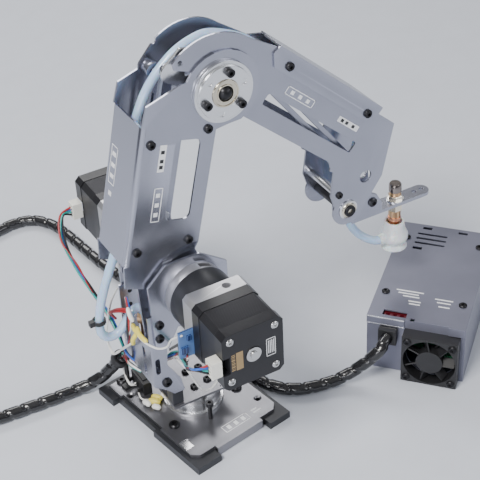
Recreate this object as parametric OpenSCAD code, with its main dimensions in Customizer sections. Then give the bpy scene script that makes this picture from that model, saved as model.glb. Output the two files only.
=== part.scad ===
// Desktop robot arm: three driven axes, a levelled wrist and a suction cup,
// with its control box and cable harness.
// X points the way the arm reaches, Z is up, and the origin is on the table
// under the middle of the base.

/* [Arm] */
// Height of the shoulder axis above the table
shoulder_z = 120.7; // [116:0.1:126]
// Shoulder axis behind the turning axis of the base
shoulder_back = 4; // [0:0.5:6]
// Length of the upper arm between its two axes
upper_len = 137.4; // [130:0.1:142]
// Forward lean of the upper arm at rest
upper_tilt = 13.1; // [8:0.1:18]
// Slope of the forearm's top edge below level at rest
fore_slope = 41.6; // [36:0.1:46]
// Outside width of the upper arm channel
arm_w = 39.2; // [38.8:0.1:39.4]
// Sheet thickness of the arm plates
sheet = 1.5; // [1.4:0.1:1.6]

/* [Drives] */
// Side of the motor's square body
motor_side = 42.3; // [42:0.1:42.5]
// Length of the motor's body
motor_len = 37.4; // [34:0.1:40]
// Spacing of the motor's four screws
motor_pitch = 31; // [31:0.1:31.2]
// Radius of the planetary gearbox
gear_r = 21.5; // [20.5:0.1:21.5]

/* [Base] */
// Width of the base
base_w = 82; // [80:1:86]
// Length of the base
base_l = 112; // [110:1:116]
// Turn of the base under the arm at rest
base_yaw = 10.3; // [0:0.1:12]
// Radius of the circle of the four mounting holes
base_hole_r = 45.3; // [45:0.1:45.5]

/* [Control box] */
// Width of the control box
box_w = 70.7; // [70:0.1:74]
// Depth of the control box
box_d = 118; // [118:1:124]
// Height of the control box
box_h = 48; // [47:0.5:48]
// Side of the cooling fan
fan_side = 40; // [39.5:0.5:40]

/* [Cable] */
// Diameter of the wrapped harness
harness_d = 9; // [8:0.5:9]
// Outside diameter of the air tube
tube_d = 6; // [5:0.5:6]

/* [Hidden] */
$fn = 48;

silver = [0.66, 0.69, 0.75];
bright = [0.80, 0.81, 0.83];
black = [0.09, 0.09, 0.10];
brass = [0.78, 0.62, 0.32];

// Heights in the base
frame_h = 5.5;
plate_top = 7.5;
turret_z = 23;
deck_z = 25;

// Axes of the arm at rest
sx = -shoulder_back;
sz = shoulder_z;
ex = sx + upper_len * sin(upper_tilt);
ez = sz + upper_len * cos(upper_tilt);
wrist_s = 148.8;
wrist_t = -29.9;
wx = ex + wrist_s * cos(fore_slope) + wrist_t * sin(fore_slope);
wz = ez - wrist_s * sin(fore_slope) + wrist_t * cos(fore_slope);

// Half widths: arm channel, forearm plates, rods
arm_out = arm_w / 2;
arm_in = arm_out - sheet;
fore_out = arm_in - 0.3;
fore_in = fore_out - sheet;
dish_step = 3;
side_in = arm_out + 1.9;
side_out = side_in + 2;

link_y0 = -9.4;
link_y1 = -6.4;

// Pivot offsets of the levelling rods and of the drive rod
level_off = [-29, 17];
drive_off = [-30, 10];
wrist_off = [13.6, 21.6];
pin_r = 2.5;
run_gap = 0.05;

// ---- helpers ----
function arc(cx, cy, r, a0, a1, n = 8) =
    [for (i = [0:n]) let (a = a0 + (a1 - a0) * i / n) [cx + r * cos(a), cy + r * sin(a)]];

function round_box(x0, y0, x1, y1, r, n = 5) = concat(
    arc(x1 - r, y0 + r, r, -90, 0, n), arc(x1 - r, y1 - r, r, 0, 90, n),
    arc(x0 + r, y1 - r, r, 90, 180, n), arc(x0 + r, y0 + r, r, 180, 270, n));

// An outline in the XZ plane, standing from y0 to y1
module slab(y0, y1) {
    translate([0, y1, 0]) rotate([90, 0, 0]) linear_extrude(y1 - y0) children();
}

// A round bar along Y
module bar(x, z, r, y0, y1) {
    translate([x, y1, z]) rotate([90, 0, 0]) cylinder(r = r, h = y1 - y0);
}

// The same on both sides of the arm's middle plane
module both_sides() {
    children();
    mirror([0, 1, 0]) children();
}

// Button-head screw with a hexagon socket: under-head at z = 0, shank downwards
module button_screw(r, h, shank_r, shank_l) {
    difference() {
        union() {
            cylinder(r = r, h = h * 0.6);
            translate([0, 0, h * 0.6]) cylinder(r1 = r, r2 = r * 0.72, h = h * 0.4);
            translate([0, 0, -shank_l]) cylinder(r = shank_r, h = shank_l + 0.1);
        }
        translate([0, 0, h * 0.35]) cylinder(r = r * 0.42, h = h, $fn = 6);
    }
}

// Cap screw with a deep socket head
module cap_screw(r, h, shank_r, shank_l) {
    difference() {
        union() {
            cylinder(r = r, h = h - 0.4);
            translate([0, 0, h - 0.4]) cylinder(r1 = r, r2 = r - 0.4, h = 0.4);
            translate([0, 0, -shank_l]) cylinder(r = shank_r, h = shank_l + 0.1);
        }
        translate([0, 0, h * 0.45]) cylinder(r = r * 0.5, h = h, $fn = 6);
    }
}

// Places a screw on a side face at (x, z), head outwards; side is -1 near, 1 far
module on_side(x, z, y, side) {
    translate([x, side * y, z]) rotate([side < 0 ? 90 : -90, 0, 0]) children();
}

module in_base() { rotate([0, 0, base_yaw]) children(); }
module in_arm() { translate([sx, 0, sz]) rotate([0, upper_tilt, 0]) children(); }
module in_fore() { translate([ex, 0, ez]) rotate([0, fore_slope, 0]) children(); }
module at_shoulder() { translate([sx, 0, sz]) children(); }
module at_elbow() { translate([ex, 0, ez]) children(); }
module at_wrist() { translate([wx, 0, wz]) children(); }

// ---- tubes ----
function unit(v) = v / norm(v);
function tangent(p, i) = unit(p[min(i + 1, len(p) - 1)] - p[max(i - 1, 0)]);
function side_of(t) = abs(t[2]) > 0.9 ? unit(cross(t, [0, 1, 0])) : unit(cross(t, [0, 0, 1]));
function ring(c, t, r, n) =
    let (a = side_of(t), b = cross(t, a))
    [for (k = [0:n - 1]) c + r * cos(360 * k / n) * a + r * sin(360 * k / n) * b];

// Round tube along a list of points, with a ring at each point
module sweep(p, r, n) {
    m = len(p);
    rings = [for (i = [0:m - 1]) each ring(p[i], tangent(p, i), r, n)];
    walls = [for (i = [0:m - 2]) for (k = [0:n - 1])
        [i * n + k, i * n + (k + 1) % n, (i + 1) * n + (k + 1) % n, (i + 1) * n + k]];
    caps = [[for (k = [n - 1:-1:0]) k], [for (k = [0:n - 1]) (m - 1) * n + k]];
    polyhedron(points = rings, faces = concat(walls, caps), convexity = 6);
}

// Route of the harness on the table, from the clamp to the box
lie = harness_d / 2 + 0.1;
harness_route = [
    [-35, 36, 36], [-38, 40, 30], [-42, 44.5, 22], [-48, 49.5, 13], [-57, 53.5, 7],
    [-68, 55.5, lie], [-86, 56, lie], [-105, 57, lie], [-124, 58.5, lie], [-144, 63, lie],
    [-162, 73, lie], [-176, 89, lie], [-185, 109, lie], [-188, 131, lie], [-185, 153, lie],
    [-177, 175, lie], [-165, 196, lie], [-149, 215, lie], [-130, 232, lie], [-109, 247, lie],
    [-86, 259, lie], [-62, 269, lie], [-40, 276, lie], [-24, 278.5, lie], [-9, 274, lie],
    [1, 261, lie], [6, 244, lie], [9, 224, lie], [11.5, 203, lie], [14.5, 182, lie],
    [19, 161, lie], [25, 141, lie], [31, 121, lie], [36.5, 101, lie], [40.5, 81, lie],
    [43, 61, lie], [44.5, 41, lie], [45.5, 22, lie], [47, 4, lie], [51, -11, lie],
    [59, -23.5, lie], [70, -31.5, lie], [83, -35.5, lie], [95, -38, 5.5], [105, -41, 9.5],
    [112.5, -44.5, 15.5], [118, -48, 22], [122.5, -50.5, 28], [127, -50.5, 32.5], [132.8, -46.8, 34]
];

// ---- base ----
foot_gap = 6;

module base_frame() color(black) in_base() difference() {
    union() {
        translate([-base_w / 2, -base_l / 2, 0]) cube([base_w, base_l, frame_h]);
        for (s = [-1, 1]) translate([s * (base_w / 2 - 8), base_l / 2 - 9, 0])
            translate([-10.5, -9, 0]) cube([21, 18, frame_h]);
    }
    translate([-21, -base_l / 2 - 1, -1]) cube([44, 8, frame_h + 2]);
    translate([-21, base_l / 2 - 7, -1]) cube([42, 9, frame_h + 2]);
    for (s = [-1, 1]) translate([s * base_w / 2 - 2.5, -foot_gap, -1]) cube([5, 44, frame_h + 2]);
    for (a = [45:90:315]) rotate(a) translate([base_hole_r, 0, -1]) cylinder(r = 1.7, h = 9);
    for (x = [-28, 28]) for (y = [-13.5, 48]) translate([x, y, 3]) cylinder(r = 1.6, h = 4);
}

// Corner cut-outs and folded edges of the base plate
module base_plate() color(silver) in_base() difference() {
    union() {
        translate([-37.5, -48, frame_h]) cube([75, 99, plate_top - frame_h]);
        translate([-20, -51.2, frame_h]) cube([40, 4, plate_top - frame_h]);
        translate([-20, -51.2, 0.8]) cube([40, 1.6, frame_h]);
    }
    for (s = [-1, 1]) translate([s * 37.5, -48, 4]) rotate(45) translate([-3.4, -3.4, 0]) cube([6.8, 6.8, 5]);
    for (s = [-1, 1]) translate([s * 37.5 - 2, -10, 4]) cube([4, 46, 5]);
    for (a = [45:90:315]) rotate(a) translate([base_hole_r, 0, 0]) {
        cylinder(r = 1.7, h = 9);
        translate([0, 0, plate_top - 1]) cylinder(r1 = 1.7, r2 = 3, h = 1.1);
    }
    for (x = [-28, 28]) for (y = [-13.5, 48]) translate([x, y, 0]) cylinder(r = 1.6, h = 9);
    cylinder(r = 8, h = 9);
}

module base_screws() color(black) in_base() {
    for (x = [-28, 28]) for (y = [-13.5, 48]) translate([x, y, plate_top]) button_screw(3.9, 2.4, 1.5, 4.2);
    stop_bolt();
}

// Upright bolt that stops the turret
module stop_bolt() translate([-5, -25, plate_top]) {
    cylinder(r = 1.5, h = 12);
    difference() {
        translate([0, 0, 11.9]) cylinder(r = 2.8, h = 3);
        translate([0, 0, 13.2]) cylinder(r = 1.3, h = 3, $fn = 6);
    }
}

module bearing_housing() color(bright) difference() {
    union() {
        translate([0, 0, plate_top]) cylinder(r = 19, h = 9.5);
        translate([0, 0, plate_top]) cylinder(r = 21, h = 2.5);
    }
    translate([0, 0, 9]) cylinder(r = 16, h = 10);
}

module limit_switch() color(black) translate([-29, 20, plate_top]) difference() {
    union() {
        cube([6.4, 20, 10.2]);
        translate([1.6, 4, 10.1]) cube([3.2, 12, 0.9]);
        for (y = [3, 10, 17]) translate([-3.4, y - 0.4, 2.6]) cube([3.5, 0.8, 3.2]);
    }
    for (y = [5.2, 14.8]) translate([-1, y, 6.8]) rotate([0, 90, 0]) cylinder(r = 1.2, h = 9);
}

// Upright strap that holds the harness where it leaves the arm
clamp_dir = [-3, 4, -6] / norm([3, 4, 6]);
module harness_clamp() color(black) difference() {
    union() {
        in_base() {
            translate([-31.6, 38, plate_top]) cube([6, 5.7, 2]);
            translate([-27.4, 40.2, plate_top]) cube([1.8, 3.5, 23]);
        }
        clamp_axis() translate([0, 0, -2.5]) cylinder(r = 6.4, h = 5);
    }
    clamp_axis() translate([0, 0, -3.6]) cylinder(r = harness_d / 2 + 0.3, h = 8);
}
module clamp_axis() translate([-36.8, 38.4, 32.4])
    rotate([0, acos(clamp_dir[2]), atan2(clamp_dir[1], clamp_dir[0])]) children();

module harness() color([0.05, 0.05, 0.06]) sweep(harness_route, harness_d / 2, 10);

// ---- control box, drawn with its front left corner at the origin ----
box_at = [126.7, -30.8, 0];
box_yaw = -48.65;
skin = 1.2;
fan_x = 47.5;
fan_z = 20.5;
fan_deep = 10;
gland_x = 16;
gland_z = 34;
gland_deep = 6;
wall_h = box_h - skin;
post_y = [24, box_d - 14];
lid_points = [[7, 28], [63.5, 26], [62.7, 98], [7, 98]];
module in_box() translate(box_at) rotate([0, 0, box_yaw]) children();
module fan_corners() for (i = [-1, 1]) for (k = [-1, 1])
    translate([fan_x + 16 * i, 0, fan_z + 16 * k]) rotate([90, 0, 0]) children();

module box_tray() color(silver) in_box() difference() {
    union() {
        cube([box_w, box_d, skin]);
        cube([skin, box_d, wall_h]);
        translate([box_w - skin, 0, 0]) cube([skin, box_d, wall_h]);
        translate([0, box_d - skin, 0]) cube([box_w, skin, wall_h]);
        cube([box_w, skin, wall_h]);
        for (x = [9, box_w - 9]) for (y = post_y) translate([x, y, 0]) cylinder(r = 2.4, h = 6.2);
    }
    translate([fan_x, -1, fan_z]) rotate([-90, 0, 0]) cylinder(r = 18.6, h = 4);
    translate([0, 3, 0]) fan_corners() cylinder(r = 1.7, h = 5);
    translate([gland_x, -1, gland_z]) rotate([-90, 0, 0]) cylinder(r = 4.5, h = 4);
    translate([20, box_d - skin - 1, 12]) cube([9, skin + 2, 11]);
    for (x = [9, box_w - 9]) for (y = post_y) translate([x, y, -1]) cylinder(r = 1.25, h = 8);
}

// Flat top with a folded lip over the cable side of the front
module box_lid() color(silver) in_box() difference() {
    union() {
        translate([0, 0, wall_h]) cube([box_w, box_d, skin]);
        for (x = [0, box_w - 12]) translate([x, -skin, box_h - 7]) cube([x == 0 ? 27 : 12, skin, 7]);
    }
    translate([10.5, 2, wall_h - 1]) cube([17, 6, skin + 2]);
    translate([31, -1, wall_h - 1]) cube([3, 4, skin + 2]);
    for (y = [93.5, 99.5, 105.5]) translate([0, 0, wall_h - 1]) linear_extrude(skin + 2)
        polygon(round_box(14, y - 1.1, 37, y + 1.1, 1));
    for (p = [[16.5, 112], [44, 112]]) translate([p[0], p[1], wall_h - 1]) cube([7, 3, skin + 2]);
    translate([14, 85, wall_h - 1]) cube([7, 3, skin + 2]);
    for (p = lid_points) translate([p[0], p[1], wall_h - 1]) cylinder(r = 1.6, h = skin + 2);
}

module driver_board() color("seagreen") in_box() {
    difference() {
        translate([5, 16, 6.2]) cube([box_w - 10, box_d - 22, 1.6]);
        for (x = [9, box_w - 9]) for (y = post_y) translate([x, y, 5]) cylinder(r = 1.5, h = 5);
    }
    for (y = [32, 56, 80]) translate([14, y, 7.8]) cube([16, 18, 9]);
    translate([40, 36, 7.8]) cube([18, 18, 5]);
    for (x = [44, 56]) translate([x, 74, 7.8]) cylinder(r = 5, h = 12);
}

// Terminal block under the slot in the lid
module power_socket() color("darkred") in_box() difference() {
    translate([11, skin + 0.1, 37.5]) cube([16, 9, 8.2]);
    for (x = [14, 19, 24]) translate([x, 6, 42.5]) cylinder(r = 1.6, h = 4);
    translate([gland_x, 0, gland_z]) rotate([-90, 0, 0]) cylinder(r = 5, h = 20);
}

module cable_gland() color(black) in_box() difference() {
    translate([gland_x - 6.5, -gland_deep, gland_z - 6.5]) cube([13, gland_deep - skin - 0.1, 12.5]);
    translate([gland_x, -gland_deep - 1, gland_z]) rotate([-90, 0, 0]) cylinder(r = 3.2, h = 9);
}

module fan_frame() color(black) in_box() difference() {
    translate([fan_x - fan_side / 2, -fan_deep, fan_z - fan_side / 2]) cube([fan_side, fan_deep, fan_side]);
    difference() {
        translate([fan_x, -fan_deep - 1, fan_z]) rotate([-90, 0, 0]) cylinder(r = 18.8, h = fan_deep + 2);
        translate([fan_x, -2.2, fan_z]) rotate([-90, 0, 0]) cylinder(r = 9, h = 2.2);
        for (a = [20:90:290]) translate([fan_x, -2.2, fan_z]) rotate([0, a, 0])
            translate([0, 0, -0.9]) cube([20, 2.2, 1.8]);
    }
    translate([0, 1, 0]) fan_corners() cylinder(r = 1.7, h = fan_deep + 2);
}

module box_screws() color(black) in_box() {
    translate([0, -fan_deep, 0]) fan_corners() button_screw(2.9, 1.6, 1.4, fan_deep);
    for (p = lid_points) translate([p[0], p[1], box_h]) button_screw(2.9, 1.6, 1.4, 4);
}

module fan_rotor() color([0.13, 0.13, 0.14]) in_box() translate([fan_x, -2.6, fan_z]) rotate([90, 0, 0]) {
    cylinder(r = 9.5, h = 7);
    for (a = [0:360 / 7:359]) rotate(a) translate([9, 0, 3.5]) rotate([32, 0, 0])
        translate([0, -0.5, -3.6]) cube([8.8, 1, 7.2]);
}

// ---- turret ----
module turntable_hub() color(bright) {
    translate([0, 0, 9.4]) cylinder(r = 15.7, h = 8.1);
    translate([0, 0, 17.4]) cylinder(r = 20, h = turret_z - 17.4);
}

module turret_plate() color(silver) difference() {
    union() {
        translate([-24, -18, turret_z]) cube([48, 36, 2]);
        translate([-24, -20, turret_z]) cube([42, 4, 2]);
    }
    for (p = deck_points) translate([p[0], p[1], 20]) cylinder(r = 1.6, h = 8);
    translate([19, 0, 20]) cylinder(r = 3, h = 8);
    translate([18, -18, 20]) rotate(45) cube([8, 8, 16], center = true);
    translate([24, 18, 20]) rotate(45) cube([8, 8, 16], center = true);
}

// Black block with a wire tunnel, which lifts the column off the plate
block_z = 39;
block_x = [-24, -16];
foot = [-20, 14.5];
module column_block() color(black) difference() {
    translate([block_x[0], -18, deck_z]) cube([block_x[1] - block_x[0], 36, block_z - deck_z]);
    translate([block_x[0] - 1, -9, deck_z - 1]) cube([block_x[1] - block_x[0] + 2, 18, 9]);
    both_sides() translate([foot[0], foot[1], block_z - 6]) cylinder(r = 1.6, h = 7);
}

// Outline of one side wall of the column
column_side = [[block_x[0], block_z], [block_x[1], block_z], [-18, 50], [-27, 66], [-26, 82], [-18, 99],
               [-19, 110], [-38, 110], [-38, 51], [-29.5, 45]];
wall_screw = [-28.6, 51.5];
tail_screws = [[-30.6, 103], [-31.4, 92]];
module turret_column() color(silver) difference() {
    union() {
        both_sides() slab(-side_in, -side_in + sheet) polygon(column_side);
        translate([-38, -side_in, 51]) cube([sheet, 2 * side_in, 36]);
        both_sides() translate([block_x[0], -side_in, block_z]) cube([block_x[1] - block_x[0], 10, sheet]);
    }
    for (z = [60, 74]) translate([-40, 0, z]) rotate([0, 90, 0]) linear_extrude(5)
        polygon(round_box(-5, -12, 5, -8, 1.9));
    both_sides() slab(-side_in - 1, -side_in + 3) polygon(round_box(-35.6, 61, -32.2, 74, 1.6));
    for (p = tail_screws) bar(p[0], p[1], 1.6, -side_in - 1, side_in + 1);
    both_sides() bar(wall_screw[0], wall_screw[1], 1.6, -side_in - 1, -side_in + 3);
    both_sides() translate([foot[0], foot[1], block_z - 1]) cylinder(r = 1.6, h = 4);
}

deck_points = [[-3, -8.8], [8.3, -6.7], [-1, 8], [9, 8]];
module turret_screws() color(black) {
    for (p = deck_points) translate([p[0], p[1], deck_z]) button_screw(2.9, 2, 1.5, 1.9);
    both_sides() translate([foot[0], foot[1], block_z + sheet]) button_screw(2.9, 2, 1.5, 6);
    for (s = [-1, 1]) {
        for (p = tail_screws) on_side(p[0], p[1], side_out, s) button_screw(3, 2, 1.5, 3.4);
        on_side(wall_screw[0], wall_screw[1], side_in, s) button_screw(3.4, 2.2, 1.5, 1.4);
    }
}

// Side plate that carries one gear motor, with its tail bolted to the column
side_plate = concat([[-36, 134.5], [-22.5, 147.5], [2, 147.5]], [[21, 134], [21, 107], [6, 95], [-10, 95]],
                    [[-17.7, 96], [-25.6, 81.4], [-34.6, 86]]);
module side_plate_shape() difference() {
    slab(-side_out, -side_in) polygon(side_plate);
    bar(sx, sz, 13, -side_out - 1, -side_in + 1);
    for (p = tail_screws) bar(p[0], p[1], 1.6, -side_out - 1, -side_in + 1);
    for (a = [45:90:315]) bar(sx + 17.7 * cos(a), sz + 17.7 * sin(a), 1.6, -side_out - 1, -side_in + 1);
}
module near_side_plate() color(silver) side_plate_shape();
module far_side_plate() color(silver) mirror([0, 1, 0]) side_plate_shape();

// Gear motor stations along Y
g0 = side_out;
g1 = 31.4;
g2 = 49.7;
g3 = 61.2;
g4 = g3 + motor_len;
// The far gearbox has one more stage
far_more = 13;
module gearbox_shape(more = 0) at_shoulder() difference() {
    union() {
        bar(0, 0, gear_r - 0.7, -g1, -g0);
        bar(0, 0, gear_r - 1.5, -g2 - more, -g1);
        slab(-g3 - more, -g2 - more) intersection() {
            circle(r = 28);
            square(motor_side, center = true);
        }
    }
    bar(0, 0, 10.6, -g0 - 6.6, -g0 + 1);
    bar(0, 0, 5, -g3 - more - 1, -g0);
    translate([3, -g1 + 2.5, 14]) cube([8, 4, 12]);
    translate([7, -g2 - more - 5.5, 12]) cylinder(r = 2.8, h = 14);
}
module near_gearbox() color(bright) gearbox_shape();
module far_gearbox() color(bright) mirror([0, 1, 0]) gearbox_shape(far_more);
module gear_ring_shape(more = 0) at_shoulder() difference() {
    bar(0, 0, gear_r, -g2 - more, -g1);
    bar(0, 0, gear_r - 1.5, -g2 - more - 1, -g1 + 1);
}
module gear_rings() color(black) {
    gear_ring_shape();
    mirror([0, 1, 0]) gear_ring_shape(far_more);
}
// The same on both motors
module both_motors() {
    children();
    mirror([0, 1, 0]) translate([0, -far_more, 0]) children();
}

// Square motor body with cut corners; the laminations sit between two caps
module motor_section(side, cut) intersection() {
    square(side, center = true);
    rotate(45) square(side * sqrt(2) - cut, center = true);
}
cap_len = 9;
module motor_body_shape() at_shoulder() slab(-g4 + cap_len, -g3 - cap_len) motor_section(motor_side - 0.6, 5);
module near_motor() color(black) motor_body_shape();
module far_motor() color([0.35, 0.35, 0.37]) mirror([0, 1, 0]) translate([0, -far_more, 0])
    motor_body_shape();
module motor_cap_shape() at_shoulder() {
    slab(-g3 - cap_len, -g3) motor_section(motor_side, 4.5);
    difference() {
        slab(-g4, -g4 + cap_len) motor_section(motor_side, 4.5);
        bar(0, 0, 5.4, -g4 - 1, -g4 + 1.2);
        for (i = [-1, 1]) for (k = [-1, 1])
            bar(i * motor_pitch / 2, k * motor_pitch / 2, 2.9, -g4 - 1, -g4 + 1.2);
        translate([-21.2, -g4 - 1, -8.6]) cube([5, 9.4, 13]);
    }
}
module motor_caps() color(black) both_motors() motor_cap_shape();
module motor_screws() color(bright) both_motors() at_shoulder() {
    for (i = [-1, 1]) for (k = [-1, 1])
        on_side(i * motor_pitch / 2, k * motor_pitch / 2, g4 - 1, -1) button_screw(2.7, 1.6, 1.4, 0.1);
    on_side(0, 0, g4 - 1.2, -1) cylinder(r = 5.2, h = 1.9);
    on_side(0, 0, g4 - 1.2, -1) cylinder(r = 2.5, h = 3);
}
module motor_plugs() color("ivory") both_motors() at_shoulder() difference() {
    translate([-28.5, -g4 + 0.4, -8.2]) cube([7.2, 7.8, 12.2]);
    for (k = [0:3]) translate([-29.5, -g4 + 2, -7 + 2.7 * k]) cube([4, 4.6, 1.7]);
}

// Small board fixed to the left edge of the near gearbox
module sensor_board() color([0.10, 0.22, 0.62]) translate([sx - motor_side / 2 - 10.4, -g3 - 0.4, 104]) {
    cube([10.4, 1.6, 20.5]);
    translate([8.4, 1.5, 4]) cube([2, 6, 4]);
    translate([1, -1.6, 4]) cube([5, 1.7, 5]);
    translate([5.5, -1.2, 13]) cube([3, 1.3, 4]);
}

// Headed pivot pin for the two levelling rods
module link_pin(x, z) {
    bar(x, z, pin_r, link_y0 - 1, link_y1 + 1);
    bar(x, z, 4, link_y1 + 0.2, link_y1 + 1.2);
}

// Fixed pivot of the levelling rod, reaching up inside the arm from the column
anchor_y0 = -12.4;
anchor_y1 = -10.4;
module level_anchor() color(silver) {
    difference() {
        slab(anchor_y0, anchor_y1) polygon(concat(
            arc(sx + level_off[0], sz + level_off[1], 6, -40, 200, 12),
            [[-36.5, 90], [-36.5, 50], [-28, 50], [-27, 96]]));
        bar(-32, 58, 1.6, anchor_y0 - 1, anchor_y1 + 1);
    }
    link_pin(sx + level_off[0], sz + level_off[1]);
    translate([-36.5, anchor_y0, 50]) cube([1.5, 9, 14]);
}

module tube_fitting() color(brass) translate([-30, 4, 88]) {
    cylinder(r = 4.4, h = 5, $fn = 6);
    translate([0, 0, 5]) cylinder(r = 3.6, h = 3);
    translate([0, 0, -22]) cylinder(r = 2.4, h = 22.1);
    translate([-5, -3, -24]) cube([10, 6, 3]);
}

// Air tube: lower loop behind the turret
tube_mid = 4;
tube_low = [
    [-30, tube_mid, 96], [-31, tube_mid, 99], [-33.5, tube_mid, 100.5], [-38.5, tube_mid, 98],
    [-43.5, tube_mid, 91], [-49, tube_mid, 86], [-55.5, tube_mid, 85.5], [-60, tube_mid, 90],
    [-61, tube_mid, 98], [-59.5, tube_mid, 108], [-57, tube_mid, 118], [-53, tube_mid, 129],
    [-48.8, tube_mid, 139], [-45, tube_mid, 147.6]
];
module air_tube_base() color("azure") sweep(tube_low, tube_d / 2, 10);

module tube_tie() color(black) translate([-60.9, tube_mid, 100]) difference() {
    union() {
        cylinder(r = 4.6, h = 2.6);
        translate([-7, -1.8, -0.6]) cube([3.6, 3.6, 3.8]);
    }
    translate([0, 0, -1]) cylinder(r = 3.6, h = 5);
}

// ---- upper arm ----
head_r = 26;
back_f = -51;
arm_plate = concat([[back_f, 22], [-48.2, 6.5], [-33, 3.9]], arc(0, 0, 20, 180, 360, 10),
    [[0, 27], [0, 112], [8, 115]], arc(0, upper_len, head_r, -50, 165, 16),
    [[-28, 143.6], [-50, 130.4], [back_f, 117]]);
// Stepped disc round the shoulder, pressed inwards from the side plate
module dish(out) rotate([90, 0, 0]) rotate_extrude()
    polygon(out ? [[0, arm_out - dish_step], [26, arm_out - dish_step], [34, arm_out], [60, arm_out],
                   [60, arm_out - 20], [0, arm_out - 20]]
                : [[0, arm_in - dish_step], [25.6, arm_in - dish_step], [33.6, arm_in], [60, arm_in],
                   [60, arm_out - 21], [0, arm_out - 21]]);
module upper_side() difference() {
    union() {
        intersection() {
            slab(-arm_out, -arm_out + 8) polygon(arm_plate);
            difference() {
                dish(true);
                dish(false);
            }
        }
        difference() {
            slab(-arm_out, -arm_in) polygon(arm_plate);
            bar(0, 0, 58, -arm_out - 1, -arm_in + 1);
        }
    }
    slab(-arm_out - 1, -arm_in + 1) polygon(round_box(-27, 52, -9.5, 107, 4));
    for (p = arm_points) bar(p[0], p[1], 1.6, -arm_out - 1, -arm_in + 1);
    bar(0, upper_len, 11, -arm_out - 1, -arm_in + 1);
    for (a = flange_screws) bar(flange_pitch * cos(a), upper_len + flange_pitch * sin(a), 1.6,
        -arm_out - 1, -arm_in + 1);
}
arm_points = [[-5.7, 113], [-43.5, 105.7], [-7.6, 36.5], [-43.4, 32]];
bend_r = 3.5;
module upper_shell() color(silver) in_arm() difference() {
    union() {
        upper_side();
        mirror([0, 1, 0]) upper_side();
        translate([back_f, -arm_out, 22]) cube([sheet, 2 * arm_out, 95]);
    }
    bar(0, 0, 8, -arm_out - 1, 0);
    bar(0, 0, 12, 0, arm_out + 1);
    for (s = [-1, 1]) translate([back_f, s * arm_out, 0]) corner_cut(s);
}
// Rounds the outside of a long bend
module corner_cut(s) difference() {
    translate([-1, s > 0 ? -bend_r : -1, 22]) cube([bend_r + 1, bend_r + 1, 95]);
    translate([bend_r, -s * bend_r, 20]) cylinder(r = bend_r, h = 99);
}

module arm_screws() color(black) in_arm() for (s = [-1, 1]) {
    for (i = [0:3]) on_side(arm_points[i][0], arm_points[i][1], arm_out, s)
        button_screw(2.9, 2.1, 1.5, i == 0 ? sheet : 5);
    for (a = flange_screws) on_side(flange_pitch * cos(a), upper_len + flange_pitch * sin(a),
        arm_out + 4, s) cap_screw(2.8, 3.2, 1.5, 5);
}

// Threaded posts that end short of the rods; the elbow end has none
module arm_posts() color(bright) in_arm() both_sides() for (i = [1:3]) difference() {
    bar(arm_points[i][0], arm_points[i][1], 2.9, -arm_in, -11.6);
    bar(arm_points[i][0], arm_points[i][1], 1.6, -arm_in - 1, -13);
}

// Output hub of the near gearbox, bolted to the near side of the arm
module shoulder_hub() color(bright) at_shoulder() {
    bar(0, 0, 10, -g0 - 6, -arm_out + dish_step);
    bar(0, 0, 7.9, -arm_out + dish_step, -arm_in + dish_step - 1.5);
    bar(0, 0, 4.5, -g0 - 12, -g0 - 5.9);
}

// Bearing ring in the far side of the arm, round the crank's hub
module shoulder_bearing() color("gainsboro") at_shoulder() difference() {
    bar(0, 0, 11.9, arm_in - dish_step, arm_out - dish_step + 2.2);
    bar(0, 0, 9 + run_gap, 0, 30);
}

flange_pitch = 13.7;
flange_screws = [90:120:330];
module elbow_flange_shape() difference() {
    union() {
        bar(0, 0, 20, -arm_out - 2.4, -arm_out);
        bar(0, 0, 17.6, -arm_out - 4, -arm_out - 2.3);
    }
    bar(0, 0, 9, -arm_out - 5, -arm_out + 1);
    rotate([0, upper_tilt, 0]) for (a = flange_screws) {
        bar(flange_pitch * cos(a), flange_pitch * sin(a), 1.6, -arm_out - 5, -arm_out + 1);
        bar(flange_pitch * cos(a + 60), flange_pitch * sin(a + 60), 1.8, -arm_out - 5, -arm_out - 3.3);
    }
}
module elbow_flanges() color(bright) at_elbow() both_sides() elbow_flange_shape();
module elbow_bearings() color([0.72, 0.70, 0.62]) at_elbow() both_sides() difference() {
    union() {
        bar(0, 0, 8.95, -arm_out - 4.8, -arm_out);
        bar(0, 0, 10.95, -arm_out, -arm_in);
    }
    bar(0, 0, 5, -arm_out - 6, -arm_in + 1);
    difference() {
        bar(0, 0, 7.9, -arm_out - 6, -arm_out - 4.3);
        bar(0, 0, 6, -arm_out - 7, -arm_out - 4);
    }
}
module elbow_axle() color([0.30, 0.30, 0.31]) at_elbow() {
    both_sides() bar(0, 0, 5, -arm_out - 3.8, -arm_in);
    bar(0, 0, 4, -arm_in - 1, arm_in + 1);
    both_sides() on_side(0, 0, arm_out + 3.8, -1) rotate_extrude()
        polygon(concat([[0, 0]], arc(0, -1.7, 5, 20, 90, 6)));
}

// Air tube inside the upper arm and over the elbow
function on_arm(f, a) = [sx + f * cos(upper_tilt) + a * sin(upper_tilt), tube_mid,
                         sz - f * sin(upper_tilt) + a * cos(upper_tilt)];
function on_fore(s, t, y) = [ex + s * cos(fore_slope) + t * sin(fore_slope), y,
                             ez - s * sin(fore_slope) + t * cos(fore_slope)];
tube_up = [
    [-44.7, tube_mid, 148.4], on_arm(-44, 42), on_arm(-44, 58), on_arm(-44, 76), on_arm(-44, 94),
    on_arm(-43, 108), on_arm(-41.3, 118), on_arm(-38.8, 127.5), on_arm(-35, 136.5),
    on_arm(-29, 146), on_arm(-21.5, 154.5), on_arm(-12, 161), on_arm(-2, 164.5)
];
module air_tube_upper() color("azure") sweep(tube_up, tube_d / 2, 10);

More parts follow.
